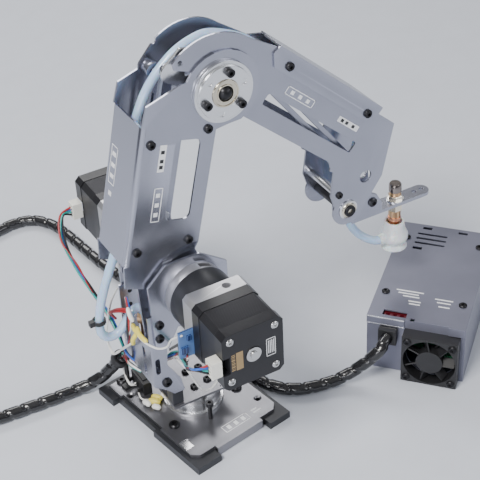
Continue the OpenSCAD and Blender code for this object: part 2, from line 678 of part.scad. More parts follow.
// ---- drive linkage ----
crank_y0 = 11.8;
crank_y1 = 14.3;
rod_y0 = 8;
rod_y1 = 11;
crank_ang = atan2(drive_off[1], drive_off[0]);
throw = norm(drive_off);
module crank() color([0.55, 0.57, 0.60]) at_shoulder() {
    bar(0, 0, 9, crank_y1 - 0.1, g0 + 6);
    difference() {
        union() {
            bar(0, 0, 11, crank_y0, crank_y1);
            bar(drive_off[0], drive_off[1], 5.5, crank_y0, crank_y1);
            slab(crank_y0, crank_y1) rotate(crank_ang) polygon([[0, -9], [throw, -5.5], [throw, 5.5], [0, 9]]);
        }
        slab(crank_y0 - 1, crank_y1 + 1) rotate(crank_ang) polygon(round_box(13.5, -3, 22.5, 3, 2.9));
    }
    bar(drive_off[0], drive_off[1], 2, rod_y0 - 0.6, crank_y0 + 0.1);
}
module crank_bush() color(brass) at_shoulder() difference() {
    union() {
        bar(drive_off[0], drive_off[1], 3, rod_y0 - 0.4, rod_y1 + 0.4);
        bar(drive_off[0], drive_off[1], 5, rod_y1 + 0.1, crank_y0 - 0.1);
    }
    bar(drive_off[0], drive_off[1], 2 + run_gap, rod_y0 - 1, rod_y1 + 1);
}

// Straight link between two eyes, in the frame of its lower eye
module link(y0, y1, length, tilt, wid, eye_r, bore0, bore1) rotate([0, tilt, 0]) difference() {
    union() {
        bar(0, 0, eye_r, y0, y1);
        bar(0, length, eye_r, y0, y1);
        slab(y0, y1) polygon([[-wid / 2, 0], [wid / 2, 0], [wid / 2, length], [-wid / 2, length]]);
    }
    bar(0, 0, bore0, y0 - 1, y1 + 1);
    bar(0, length, bore1, y0 - 1, y1 + 1);
    slab(y0 - 1, y1 + 1) polygon(round_box(-1.3, 14, 1.3, length - 14, 1.2));
}
module drive_rod() color(silver) at_shoulder() translate([drive_off[0], 0, drive_off[1]])
    link(rod_y0, rod_y1, upper_len, upper_tilt, 6.5, 5.6, 3 + run_gap, pin_r + 0.6);

// ---- levelling linkage ----
module level_rod() color(silver) at_shoulder() translate([level_off[0], 0, level_off[1]])
    link(link_y0, link_y1, upper_len, upper_tilt, 6.5, 5, pin_r + run_gap, pin_r + 0.6);

tri_y0 = -12;
tri_y1 = -10;
module triangle_plate() color(bright) at_elbow() {
    difference() {
        union() {
            slab(tri_y0, tri_y1) polygon(concat(arc(level_off[0], level_off[1], 6.5, 120, 260, 8),
                arc(0, 0, 10, 215, 350, 8), arc(wrist_off[0], wrist_off[1], 6, -20, 110, 8),
                [[-6, 27], [-22, 31]]));
            bar(0, 0, 8, tri_y0, tri_y1 + 2);
        }
        bar(0, 0, 4 + run_gap, tri_y0 - 1, tri_y1 + 3);
        bar(-24.5, 25, 1.7, tri_y0 - 1, tri_y1 + 1);
        slab(tri_y0 - 1, tri_y1 + 1) polygon(round_box(-20, 12.5, -15, 18.5, 0.6));
        slab(tri_y0 - 1, tri_y1 + 1) polygon(round_box(-7, 13.5, 4, 20, 2.5));
    }
    link_pin(level_off[0], level_off[1]);
    link_pin(wrist_off[0], wrist_off[1]);
}

fore_len = norm([wrist_s, wrist_t]);
fore_dir = fore_slope + atan2(-wrist_t, wrist_s);
module wrist_rod() color(silver) at_elbow() translate([wrist_off[0], 0, wrist_off[1]])
    link(link_y0, link_y1, fore_len, 90 + fore_dir, 9, 5, pin_r + run_gap, pin_r + 0.6);

// ---- forearm ----
elbow_lobe = [-29.1, -12.4];
fore_front = concat(
    [[121.5, 39.3], [121.5, 35.6], [139.8, 35.6], [157.9, 1.5]],
    arc(wrist_s, wrist_t, 12, 10, -165, 14),
    [[128.8, -28], [118.5, -12.5]], arc(107, -15.8, 8, 20, 90, 4),
    [[22, -7.8], [16.5, -8.5]]);
// The near plate ends in a plain tail; the far one has a lobe for the drive rod
near_tail = concat(arc(0, 0, 17, -30, -140, 8), [[-24, 1.2], [-32, -1.9], [-36.5, -3.6]],
    arc(-2.5, -2.5, 37.3, 178, 90, 16), [[22, 39.3]]);
far_tail = concat(arc(0, 0, 17, -30, -130, 8), arc(elbow_lobe[0], elbow_lobe[1], 7, 260, 190, 5),
    arc(-2.5, -2.5, 33.5, 176, 90, 14), [[22, 34], [31, 39.3]]);
tail_hole = [-35.6, 1.8];
module fore_side(tail) difference() {
    slab(-fore_out, -fore_in) polygon(concat(fore_front, tail));
    bar(0, 0, 8, -fore_out - 1, -fore_in + 1);
    slab(-fore_out - 1, -fore_in + 1) polygon(round_box(33.5, 4, 120, 12, 1.6));
    bar(wrist_s, wrist_t, 3, -fore_out - 1, -fore_in + 1);
    bar(145.3, -4.6, 4.6, -fore_out - 1, -fore_in + 1);
    bar(nose_hole[0], nose_hole[1], 1.6, -fore_out - 1, -fore_in + 1);
    bar(tail_hole[0], tail_hole[1], 1.7, -fore_out - 1, -fore_in + 1);
    for (p = fore_points) bar(p[0], p[1], 1.6, -fore_out - 1, -fore_in + 1);
}
fore_points = [[34.7, 32.6], [112.6, 32.2]];
nose_hole = [134.4, -24.2];
module forearm_plates() color(silver) in_fore() {
    fore_side(near_tail);
    mirror([0, 1, 0]) fore_side(far_tail);
    both_sides() difference() {
        bar(0, 0, 8, -fore_out, -fore_in + 0.6);
        bar(0, 0, 4 + run_gap, -fore_out - 1, -fore_in + 2);
    }
    bar(elbow_lobe[0], elbow_lobe[1], 4.5, rod_y1 + 0.6, fore_in + 0.1);
    bar(elbow_lobe[0], elbow_lobe[1], pin_r, rod_y0 - 0.6, rod_y1 + 0.7);
}

cover_t = 1.2;
flap_out = fore_out + cover_t + 0.1;
module forearm_cover() color(silver) in_fore() difference() {
    union() {
        translate([20, -flap_out, 39.4]) cube([101.5, flap_out, cover_t]);
        translate([32, -1, 39.4]) cube([89.5, flap_out + 1, cover_t]);
        both_sides() slab(-flap_out, -fore_out - 0.1) polygon(concat(
            [[33, 40], [31, 34]], [[33, 27.2], [112, 27.2]], arc(116, 32.7, 5.5, -90, 0, 5), [[121.5, 40]]));
        slab(-flap_out, -fore_out - 0.1) polygon([[20, 40], [18.5, 34.5], [25, 27.2], [40, 27.2], [40, 40]]);
    }
    for (p = fore_points) bar(p[0], p[1], 1.6, -flap_out - 1, flap_out + 1);
}

module forearm_screws() color(black) in_fore() for (s = [-1, 1]) {
    for (p = fore_points) on_side(p[0], p[1], flap_out, s) button_screw(2.9, 2.1, 1.5, 5);
    on_side(nose_hole[0], nose_hole[1], fore_out, s) button_screw(2.5, 1.8, 1.5, 5);
}
module forearm_spacers() color(bright) in_fore() {
    both_sides() for (p = fore_points) difference() {
        bar(p[0], p[1], 2.8, -fore_in, -8.6);
        bar(p[0], p[1], 1.6, -fore_in - 1, -12.4);
    }
    difference() {
        bar(nose_hole[0], nose_hole[1], 2.8, -fore_in, fore_in);
        both_sides() bar(nose_hole[0], nose_hole[1], 1.6, -fore_in - 1, -fore_in + 6);
    }
}
module wrist_axle() color([0.35, 0.35, 0.36]) at_wrist() {
    bar(0, 0, 3, -fore_out - 2.2, fore_out + 2.2);
    both_sides() difference() {
        bar(0, 0, 5.6, -fore_out - 0.9, -fore_out);
        bar(0, 0, 3, -fore_out - 1, -fore_out + 1);
    }
    both_sides() difference() {
        bar(0, 0, 4.2, -fore_out - 3.4, -fore_out - 0.9);
        translate([0, -fore_out - 2.2, 0]) rotate([90, 0, 0]) cylinder(r = 2, h = 3, $fn = 6);
    }
    bar(0, 0, 4.6, -fore_in, ear_y0 - 0.4);
    bar(0, 0, 4.6, -7.8, fore_in);
}

tube_over = [
    on_fore(0.8, 29.3, tube_mid), on_fore(9, 31.2, tube_mid), on_fore(22, 31.8, tube_mid),
    on_fore(40, 32.6, tube_mid), on_fore(60, 33.2, tube_mid), on_fore(80, 33.4, tube_mid),
    on_fore(100, 33.2, tube_mid), on_fore(117, 31, tube_mid), on_fore(130, 25, tube_mid),
    on_fore(139.5, 15.5, tube_mid), on_fore(145, 3, tube_mid), on_fore(147.5, -10, tube_mid)
];
module air_tube_fore() color("azure") sweep(tube_over, tube_d / 2, 10);

// ---- wrist and suction cup ----
ear_y0 = -12;
ear_y1 = -10;
strip_z = -18.8;
strip_t = 2.6;
fit_x = 47.9;
fit_y = -6;
module effector_bracket() color(silver) at_wrist() difference() {
    union() {
        slab(ear_y0, ear_y1) polygon(concat(arc(0, 0, 8, 140, 262, 8), [[8, strip_z], [32.7, strip_z],
            [32.7, -10], [28, -1.5], [22, 2]], arc(wrist_off[0], wrist_off[1], 6.5, 0, 150, 8)));
        translate([14, ear_y0, strip_z]) cube([56, 12, strip_t]);
        translate([70, fit_y, strip_z]) cylinder(r = 6, h = strip_t);
        bar(0, 0, 6, ear_y1 - 0.1, -8.2);
        link_pin(wrist_off[0], wrist_off[1]);
    }
    bar(0, 0, 3 + run_gap, -13, -7);
    bar(24.4, -6.6, 2.3, -13, -8);
    translate([fit_x, fit_y, strip_z - 1]) cylinder(r = 2.6, h = strip_t + 2);
    for (x = [64.5, 71]) translate([x, fit_y, strip_z - 1]) cylinder(r = 1.7, h = strip_t + 2);
}

// Threaded stem with its two nuts and the brass barb above the cup
strip_low = wz + strip_z;
strip_top = strip_low + strip_t;
cup_top = 98;
module at_cup() translate([wx + fit_x, fit_y, 0]) children();
module suction_fitting() color(brass) at_cup() {
    translate([0, 0, cup_top]) cylinder(r = 2.5, h = strip_top + 12 - cup_top);
    translate([0, 0, strip_top]) cylinder(r = 5, h = 4, $fn = 6);
    translate([0, 0, strip_top + 3.9]) cylinder(r1 = 4.4, r2 = 3.6, h = 4);
    translate([0, 0, strip_top + 9]) cylinder(r = 3.6, h = 4.4);
    translate([0, 0, strip_low - 6]) cylinder(r = 5, h = 6, $fn = 6);
    translate([0, 0, cup_top]) cylinder(r = 4.4, h = strip_low - 5.9 - cup_top);
}

// Bellows cup with a side port for the air tube
port_z = 86.5;
module suction_cup() color("whitesmoke") at_cup() difference() {
    union() {
        rotate_extrude() polygon([[0, 77], [9.3, 77], [9.6, 78.4], [8, 81], [9.2, 83], [10.2, 86],
            [9.4, 90], [7.1, cup_top], [0, cup_top]]);
        translate([-8, 0, port_z]) rotate([0, -90, 0]) cylinder(r = 4.1, h = 5);
    }
    translate([0, 0, 76]) cylinder(r = 7, h = 4);
    translate([0, 0, 79]) cylinder(r = 4, h = 8);
    translate([-2, 0, port_z]) rotate([0, -90, 0]) cylinder(r = 2, h = 12);
}

port_x = wx + fit_x - 13;
tube_down = [
    [130.4, tube_mid, 146.6], [132.2, tube_mid, 139], [132.9, tube_mid, 130], [133, tube_mid, 120],
    [133, tube_mid, 111], [134.4, 3.2, 103.5], [137.6, 1.4, 97], [142.2, -1.4, 91.8],
    [147.4, -4.3, 88.3], [150.6, -5.6, 87], [port_x, fit_y, port_z]
];
module air_tube_wrist() color("azure") sweep(tube_down, tube_d / 2, 10);

base_frame();
base_plate();
base_screws();
bearing_housing();
limit_switch();
harness_clamp();
harness();
box_tray();
box_lid();
driver_board();
power_socket();
cable_gland();
fan_frame();
box_screws();
fan_rotor();
turntable_hub();
turret_plate();
column_block();
turret_column();
turret_screws();
near_side_plate();
far_side_plate();
near_gearbox();
far_gearbox();
gear_rings();
near_motor();
far_motor();
motor_caps();
motor_screws();
motor_plugs();
sensor_board();
level_anchor();
tube_fitting();
air_tube_base();
tube_tie();
upper_shell();
arm_screws();
arm_posts();
shoulder_hub();
shoulder_bearing();
elbow_flanges();
elbow_bearings();
elbow_axle();
air_tube_upper();
crank();
crank_bush();
drive_rod();
level_rod();
triangle_plate();
wrist_rod();
forearm_plates();
forearm_cover();
forearm_screws();
forearm_spacers();
wrist_axle();
air_tube_fore();
effector_bracket();
suction_fitting();
suction_cup();
air_tube_wrist();
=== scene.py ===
"""Looks of the desktop robot arm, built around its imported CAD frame."""

import math
import random

import bmesh
import bpy
from mathutils import Matrix, Vector


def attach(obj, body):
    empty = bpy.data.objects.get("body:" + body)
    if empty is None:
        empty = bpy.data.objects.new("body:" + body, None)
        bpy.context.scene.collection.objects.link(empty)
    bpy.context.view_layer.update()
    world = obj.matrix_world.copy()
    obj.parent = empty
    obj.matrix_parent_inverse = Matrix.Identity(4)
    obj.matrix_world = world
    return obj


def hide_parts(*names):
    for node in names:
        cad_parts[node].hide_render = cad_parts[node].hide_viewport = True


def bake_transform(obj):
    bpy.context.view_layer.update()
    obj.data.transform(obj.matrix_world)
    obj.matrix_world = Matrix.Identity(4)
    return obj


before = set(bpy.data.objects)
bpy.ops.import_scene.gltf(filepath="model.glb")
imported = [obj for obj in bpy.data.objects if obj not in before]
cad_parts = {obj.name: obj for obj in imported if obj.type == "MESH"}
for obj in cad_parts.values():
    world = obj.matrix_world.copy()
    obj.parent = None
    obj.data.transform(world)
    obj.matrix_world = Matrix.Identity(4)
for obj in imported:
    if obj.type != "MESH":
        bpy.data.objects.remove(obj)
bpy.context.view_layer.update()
MM = 0.001

# ---- places that the CAD shares, in millimetres ----
SHOULDER = Vector((-4, 0, 120.7))
UPPER_LEN = 137.4
UPPER_TILT = math.radians(13.1)
FORE_SLOPE = math.radians(41.6)
ELBOW = SHOULDER + UPPER_LEN * Vector((math.sin(UPPER_TILT), 0, math.cos(UPPER_TILT)))
BOX_AT = Vector((126.7, -30.8, 0))
BOX_YAW = math.radians(-48.65)
BOX_H = 48
BASE_YAW = math.radians(10.3)
PLATE_TOP = 7.5


def on_arm(f, a, y=0.0):
    """Point of the upper arm: f forwards, a along it from the shoulder."""
    forwards = Vector((math.cos(UPPER_TILT), 0, -math.sin(UPPER_TILT)))
    along = Vector((math.sin(UPPER_TILT), 0, math.cos(UPPER_TILT)))
    return SHOULDER + f * forwards + a * along + Vector((0, y, 0))


def on_fore(s, t, y=0.0):
    """Point of the forearm: s along it from the elbow, t towards its cover."""
    along = Vector((math.cos(FORE_SLOPE), 0, -math.sin(FORE_SLOPE)))
    outwards = Vector((math.sin(FORE_SLOPE), 0, math.cos(FORE_SLOPE)))
    return ELBOW + s * along + t * outwards + Vector((0, y, 0))


WRIST = on_fore(148.8, -29.9)


def on_box(x, y, z):
    """Point of the control box, from its front left corner."""
    return BOX_AT + Matrix.Rotation(BOX_YAW, 3, "Z") @ Vector((x, y, z))


def on_base(x, y, z):
    """Point of the base plate, from its middle."""
    return Matrix.Rotation(BASE_YAW, 3, "Z") @ Vector((x, y, z))


# ---- camera ----
def make_camera():
    data = bpy.data.cameras.new("camera")
    data.lens = 96.2
    data.sensor_width = 36
    data.clip_start = 0.01
    cam = bpy.data.objects.new("camera", data)
    bpy.context.collection.objects.link(cam)
    right = Vector((0.864, -0.501, -0.045)).normalized()
    back = Vector((-0.385, -0.716, 0.583)).normalized()
    up = back.cross(right).normalized()
    right = up.cross(back).normalized()
    cam.matrix_world = Matrix.Translation(Vector((-285.5, -612.9, 625.8)) * MM) @ Matrix(
        (right, up, back)).transposed().to_4x4()
    bpy.context.scene.camera = cam


make_camera()


# ---- mesh helpers ----
def new_piece(name, verts, faces, mat, body=None, smooth=True):
    """Mesh from points in millimetres, with its material, riding on a body."""
    mesh = bpy.data.meshes.new(name)
    mesh.from_pydata([Vector(v) * MM for v in verts], [], faces)
    mesh.validate()
    bm = bmesh.new()
    bm.from_mesh(mesh)
    bmesh.ops.recalc_face_normals(bm, faces=bm.faces)
    bm.to_mesh(mesh)
    bm.free()
    mesh.materials.append(mat)
    if smooth:
        mesh.polygons.foreach_set("use_smooth", [True] * len(mesh.polygons))
        mesh.set_sharp_from_angle(angle=math.radians(38))
    piece = bpy.data.objects.new(name, mesh)
    bpy.context.collection.objects.link(piece)
    if body:
        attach(piece, body)
    return piece


def spline(points, step=2.0):
    """Points every step along a centripetal Catmull-Rom curve through the given ones."""
    pts = [Vector(p) for p in points]
    pts = [pts[0] * 2 - pts[1]] + pts + [pts[-1] * 2 - pts[-2]]
    out = []
    for i in range(1, len(pts) - 2):
        p0, p1, p2, p3 = pts[i - 1:i + 3]
        t0 = 0.0
        t1 = t0 + max((p1 - p0).length, 1e-6) ** 0.5
        t2 = t1 + max((p2 - p1).length, 1e-6) ** 0.5
        t3 = t2 + max((p3 - p2).length, 1e-6) ** 0.5
        count = max(2, round((p2 - p1).length / step))
        for k in range(count):
            t = t1 + (t2 - t1) * k / count
            a1 = p0 * ((t1 - t) / (t1 - t0)) + p1 * ((t - t0) / (t1 - t0))
            a2 = p1 * ((t2 - t) / (t2 - t1)) + p2 * ((t - t1) / (t2 - t1))
            a3 = p2 * ((t3 - t) / (t3 - t2)) + p3 * ((t - t2) / (t3 - t2))
            b1 = a1 * ((t2 - t) / (t2 - t0)) + a2 * ((t - t0) / (t2 - t0))
            b2 = a2 * ((t3 - t) / (t3 - t1)) + a3 * ((t - t1) / (t3 - t1))
            out.append(b1 * ((t2 - t) / (t2 - t1)) + b2 * ((t - t1) / (t2 - t1)))
    out.append(pts[-2])
    return out


def frames_along(path):
    """Side vectors at each point of a path, carried along it without twist."""
    tangents = []
    for i in range(len(path)):
        tangents.append((path[min(i + 1, len(path) - 1)] - path[max(i - 1, 0)]).normalized())
    side = tangents[0].orthogonal().normalized()
    sides = []
    for t in tangents:
        side = (side - t * side.dot(t)).normalized()
        sides.append((side, t.cross(side)))
    return sides


def length_of(path):
    return sum((b - a).length for a, b in zip(path, path[1:]))


def tube(name, path, radius, mat, body=None, sides=16):
    """Closed tube along a path; radius is a number or a function of (distance, angle)."""
    verts, faces = [], []
    along = 0.0
    for i, (side, up) in enumerate(frames_along(path)):
        if i:
            along += (path[i] - path[i - 1]).length
        for k in range(sides):
            angle = 2 * math.pi * k / sides
            r = radius(along, angle) if callable(radius) else radius
            verts.append(path[i] + r * (math.cos(angle) * side + math.sin(angle) * up))
    for i in range(len(path) - 1):
        for k in range(sides):
            n = (k + 1) % sides
            faces.append((i * sides + k, i * sides + n, (i + 1) * sides + n, (i + 1) * sides + k))
    last = (len(path) - 1) * sides
    faces.append(tuple(reversed(range(sides))))
    faces.append(tuple(range(last, last + sides)))
    return new_piece(name, verts, faces, mat, body)


def lathe(name, profile, centre, mat, body, sides=48, axis="Z"):
    """Closed turned shape; the profile's points are (radius, height), first and last on the axis."""
    verts, faces, rings = [], [], []
    for r, z in profile:
        if r < 1e-6:
            rings.append([len(verts)])
            verts.append(Vector((0, 0, z)))
        else:
            rings.append(list(range(len(verts), len(verts) + sides)))
            for k in range(sides):
                a = 2 * math.pi * k / sides
                verts.append(Vector((r * math.cos(a), r * math.sin(a), z)))
    for low, high in zip(rings, rings[1:]):
        for k in range(sides):
            n = (k + 1) % sides
            if len(low) == 1 and len(high) > 1:
                faces.append((low[0], high[n], high[k]))
            elif len(high) == 1 and len(low) > 1:
                faces.append((low[k], low[n], high[0]))
            elif len(low) > 1:
                faces.append((low[k], low[n], high[n], high[k]))
    turn = {"Z": Matrix.Identity(3), "-Y": Matrix.Rotation(math.pi / 2, 3, "X"),
            "+Y": Matrix.Rotation(-math.pi / 2, 3, "X")}[axis]
    return new_piece(name, [Vector(centre) + turn @ v for v in verts], faces, mat, body)


def plates(name, quads, mat, body, depth=0.08):
    """Thin raised marks. Each quad is four corners; depth is along its normal."""
    verts, faces = [], []
    for quad in quads:
        q = [Vector(p) for p in quad]
        normal = (q[1] - q[0]).cross(q[2] - q[0]).normalized() * depth
        at = len(verts)
        verts += [p - normal * 0.5 for p in q] + [p + normal for p in q]
        faces += [(at, at + 3, at + 2, at + 1), (at + 4, at + 5, at + 6, at + 7)]
        for k in range(4):
            n = (k + 1) % 4
            faces.append((at + k, at + n, at + 4 + n, at + 4 + k))
    return new_piece(name, verts, faces, mat, body, smooth=False)


# ---- materials ----
def material(name, colour, metallic=0.0, roughness=0.5, detail=None, **shader):
    """Principled material; detail adds nodes to (nodes, links, shader, position)."""
    mat = bpy.data.materials.new(name)
    mat.use_nodes = True
    nodes, links = mat.node_tree.nodes, mat.node_tree.links
    bsdf = nodes["Principled BSDF"]
    bsdf.inputs["Base Color"].default_value = (*colour, 1)
    bsdf.inputs["Metallic"].default_value = metallic
    bsdf.inputs["Roughness"].default_value = roughness
    for key, value in shader.items():
        bsdf.inputs[key.replace("_", " ")].default_value = value
    place = nodes.new("ShaderNodeTexCoord").outputs["Object"]
    if detail:
        detail(nodes, links, bsdf, place, colour, roughness)
    return mat


def noise_of(nodes, links, place, scale, stretch=(1, 1, 1), detail=3.0, rough=0.55):
    mapping = nodes.new("ShaderNodeMapping")
    mapping.inputs["Scale"].default_value = stretch
    links.new(place, mapping.inputs["Vector"])
    noise = nodes.new("ShaderNodeTexNoise")
    noise.inputs["Scale"].default_value = scale
    noise.inputs["Detail"].default_value = detail
    noise.inputs["Roughness"].default_value = rough
    links.new(mapping.outputs["Vector"], noise.inputs["Vector"])
    return noise.outputs["Fac"]


def ramp_of(nodes, links, value, low, high, colours):
    ramp = nodes.new("ShaderNodeValToRGB")
    ramp.color_ramp.elements[0].position = low
    ramp.color_ramp.elements[1].position = high
    ramp.color_ramp.elements[0].color = (*colours[0], 1)
    ramp.color_ramp.elements[1].color = (*colours[1], 1)
    links.new(value, ramp.inputs["Fac"])
    return ramp.outputs["Color"]


def range_of(nodes, links, value, low, high):
    span = nodes.new("ShaderNodeMapRange")
    span.inputs["To Min"].default_value = low
    span.inputs["To Max"].default_value = high
    links.new(value, span.inputs["Value"])
    return span.outputs["Result"]


def add_bump(nodes, links, bsdf, height, strength, distance):
    bump = nodes.new("ShaderNodeBump")
    bump.inputs["Strength"].default_value = strength
    bump.inputs["Distance"].default_value = distance
    links.new(height, bump.inputs["Height"])
    links.new(bump.outputs["Normal"], bsdf.inputs["Normal"])


def shade(colour, factor):
    return tuple(min(1.0, c * factor) for c in colour)


def metal_detail(scale=900, stretch=(0.04, 1, 1), bump=0.05, spread=0.08, edge_wear_and_glint=1.5):
    """Fine brushing along one way, soft cloudy tone, and brighter edges: partly real wear, partly a painted
    highlight.
    """
    def build(nodes, links, bsdf, place, colour, roughness):
        grain = noise_of(nodes, links, place, scale, stretch, 4.0)
        cloud = noise_of(nodes, links, place, 22, (1, 1, 1), 4.0)
        tone = ramp_of(nodes, links, cloud, 0.3, 0.72, (shade(colour, 1 - spread), shade(colour, 1 + spread)))
        # Edges made brighter from pointiness: partly real wear, partly a painted highlight on bends and rims.
        edge = nodes.new("ShaderNodeNewGeometry").outputs["Pointiness"]
        worn_and_glint_mask = range_of(nodes, links, ramp_of(nodes, links, edge, 0.52, 0.6, ((0, 0, 0), (1, 1, 1))), 0, 0.6)
        mix = nodes.new("ShaderNodeMix")
        mix.data_type = "RGBA"
        mix.inputs["B"].default_value = (*shade(colour, edge_wear_and_glint), 1)
        links.new(worn_and_glint_mask, mix.inputs["Factor"])
        links.new(tone, mix.inputs["A"])
        links.new(mix.outputs["Result"], bsdf.inputs["Base Color"])
        links.new(range_of(nodes, links, grain, roughness - 0.03, roughness + 0.05), bsdf.inputs["Roughness"])
        add_bump(nodes, links, bsdf, grain, bump, 0.0001)
    return build


def plastic_detail(scale=1400, bump=0.1, spread=0.12):
    """Moulded surface: very fine grain and slight unevenness of tone."""
    def build(nodes, links, bsdf, place, colour, roughness):
        grain = noise_of(nodes, links, place, scale, (1, 1, 1), 2.0)
        cloud = noise_of(nodes, links, place, 40, (1, 1, 1), 4.0)
        tone = ramp_of(nodes, links, cloud, 0.3, 0.75, (shade(colour, 1 - spread), shade(colour, 1 + spread)))
        links.new(tone, bsdf.inputs["Base Color"])
        links.new(range_of(nodes, links, cloud, roughness - 0.06, roughness + 0.08), bsdf.inputs["Roughness"])
        add_bump(nodes, links, bsdf, grain, bump, 0.00015)
    return build


def lamination_detail():
    """Stack of thin steel sheets across the motor's axis."""
    def build(nodes, links, bsdf, place, colour, roughness):
        wave = nodes.new("ShaderNodeTexWave")
        wave.wave_type = "BANDS"
        wave.bands_direction = "Y"
        wave.inputs["Scale"].default_value = 320
        wave.inputs["Distortion"].default_value = 0.3
        wave.inputs["Detail"].default_value = 2
        links.new(place, wave.inputs["Vector"])
        tone = ramp_of(nodes, links, wave.outputs["Fac"], 0.2, 0.8, (shade(colour, 0.55), shade(colour, 1.5)))
        links.new(tone, bsdf.inputs["Base Color"])
        links.new(range_of(nodes, links, wave.outputs["Fac"], roughness, roughness + 0.2),
                  bsdf.inputs["Roughness"])
        add_bump(nodes, links, bsdf, wave.outputs["Fac"], 0.35, 0.0002)
    return build


def board_detail(trace):
    """Circuit board: solder mask with raised tracks."""
    def build(nodes, links, bsdf, place, colour, roughness):
        brick = nodes.new("ShaderNodeTexBrick")
        brick.inputs["Scale"].default_value = 260
        brick.inputs["Mortar Size"].default_value = 0.03
        brick.inputs["Color1"].default_value = (*colour, 1)
        brick.inputs["Color2"].default_value = (*shade(colour, 1.25), 1)
        brick.inputs["Mortar"].default_value = (*trace, 1)
        links.new(place, brick.inputs["Vector"])
        links.new(brick.outputs["Color"], bsdf.inputs["Base Color"])
        add_bump(nodes, links, bsdf, brick.outputs["Fac"], 0.2, 0.0001)
    return build


def rubber_detail(spread=0.06):
    """Soft silicone: faint dusty cloudiness and a satin skin."""
    def build(nodes, links, bsdf, place, colour, roughness):
        dust = noise_of(nodes, links, place, 180, (1, 1, 1), 5.0)
        tone = ramp_of(nodes, links, dust, 0.35, 0.8, (shade(colour, 1 - spread), shade(colour, 1 + spread)))
        links.new(tone, bsdf.inputs["Base Color"])
        links.new(range_of(nodes, links, dust, roughness - 0.05, roughness + 0.12), bsdf.inputs["Roughness"])
        add_bump(nodes, links, bsdf, dust, 0.06, 0.0002)
    return build


BOX_PAINT = material("box_paint", (0.20, 0.205, 0.265), 0.55, 0.4,
                     plastic_detail(bump=0.04, spread=0.06))
LILAC_TONE = (0.37, 0.38, 0.445)
LILAC = material("lilac_aluminium", LILAC_TONE, 0.95, 0.24, metal_detail(bump=0.012, spread=0.06))
LILAC_UP = material("lilac_aluminium_upright", LILAC_TONE, 0.95, 0.24,
                    metal_detail(stretch=(1, 1, 0.04), bump=0.012, spread=0.06))
GREY = material("grey_plate", (0.22, 0.22, 0.24), 0.88, 0.36,
                metal_detail(stretch=(1, 0.05, 1), bump=0.02))
BRIGHT = material("machined_aluminium", (0.74, 0.75, 0.77), 0.97, 0.24,
                  metal_detail(1200, (1, 1, 1), 0.012, 0.05))
CAST = material("cast_gearbox", (0.50, 0.50, 0.52), 0.92, 0.4, metal_detail(420, (1, 1, 1), 0.05, 0.1, 1.7))
DARK_STEEL = material("dark_steel", (0.16, 0.14, 0.13), 1.0, 0.2,
                      metal_detail(1500, (1, 1, 1), 0.02, 0.2, 3.0))
STEEL = material("steel", (0.56, 0.56, 0.56), 1.0, 0.22, metal_detail(1500, (1, 1, 1), 0.015))
RING_STEEL = material("bearing_steel", (0.64, 0.59, 0.48), 1.0, 0.2, metal_detail(1500, (1, 1, 1), 0.015))
BLACK_METAL = material("black_anodised", (0.022, 0.023, 0.027), 0.35, 0.42,
                       metal_detail(1000, (1, 1, 1), 0.08, 0.2, 3.0))
BLACK_SCREW = material("black_oxide", (0.025, 0.025, 0.028), 0.75, 0.33,
                       metal_detail(1500, (1, 1, 1), 0.05, 0.2, 5.0))
MOTOR_BLACK = material("motor_paint", (0.014, 0.014, 0.017), 0.2, 0.36, plastic_detail(900, 0.12, 0.25))
LAMINATE = material("laminations", (0.045, 0.045, 0.05), 0.8, 0.34, lamination_detail())
BRASS = material("brass_fitting", (0.70, 0.44, 0.24), 1.0, 0.28, metal_detail(1500, (1, 1, 1), 0.06))
BLACK_PLASTIC = material("black_plastic", (0.016, 0.016, 0.018), 0.0, 0.45, plastic_detail())
WHITE_PLASTIC = material("white_plastic", (0.80, 0.79, 0.72), 0.0, 0.35, plastic_detail(spread=0.05))
RED_PLASTIC = material("red_plastic", (0.10, 0.006, 0.012), 0.0, 0.35, plastic_detail())
YELLOW_WRAP = material("yellow_sleeve", (0.80, 0.68, 0.12), 0.0, 0.4, plastic_detail())
GREEN_BOARD = material("green_board", (0.02, 0.16, 0.07), 0.0, 0.35, board_detail((0.05, 0.26, 0.12)))
BLUE_BOARD = material("blue_board", (0.006, 0.022, 0.10), 0.0, 0.32, board_detail((0.10, 0.20, 0.45)))
SILICONE_TUBE = material("silicone_tube", (0.50, 0.69, 0.95), 0.0, 0.2, rubber_detail(),
                         Subsurface_Weight=0.4, Subsurface_Scale=0.004, Coat_Weight=0.6,
                         Transmission_Weight=0.1)
SILICONE_CUP = material("silicone_cup", (0.90, 0.94, 1.0), 0.0, 0.22, rubber_detail(),
                        Subsurface_Weight=0.3, Subsurface_Scale=0.004, Transmission_Weight=0.25,
                        Coat_Weight=0.5)
COPPER = material("copper_barb", (0.62, 0.30, 0.18), 1.0, 0.25, metal_detail(1500, (1, 1, 1), 0.02))
HARNESS_WRAP = material("harness_wrap", (0.012, 0.012, 0.014), 0.0, 0.24, plastic_detail(700, 0.15, 0.3),
                        Coat_Weight=0.5)
MARK_WHITE = material("printed_mark", (0.82, 0.83, 0.85), 0.0, 0.5, plastic_detail(spread=0.06))
MARK_GOLD = material("motor_label", (0.36, 0.25, 0.12), 0.3, 0.45, plastic_detail(spread=0.15))
WIRES = {
    "black": material("wire_black", (0.015, 0.015, 0.017), 0.0, 0.4, plastic_detail()),
    "red": material("wire_red", (0.36, 0.02, 0.025), 0.0, 0.38, plastic_detail()),
    "teal": material("wire_teal", (0.02, 0.33, 0.30), 0.0, 0.38, plastic_detail()),
    "blue": material("wire_blue", (0.03, 0.12, 0.50), 0.0, 0.38, plastic_detail()),
    "white": material("wire_white", (0.80, 0.80, 0.78), 0.0, 0.4, plastic_detail(spread=0.05)),
    "yellow": YELLOW_WRAP,
}

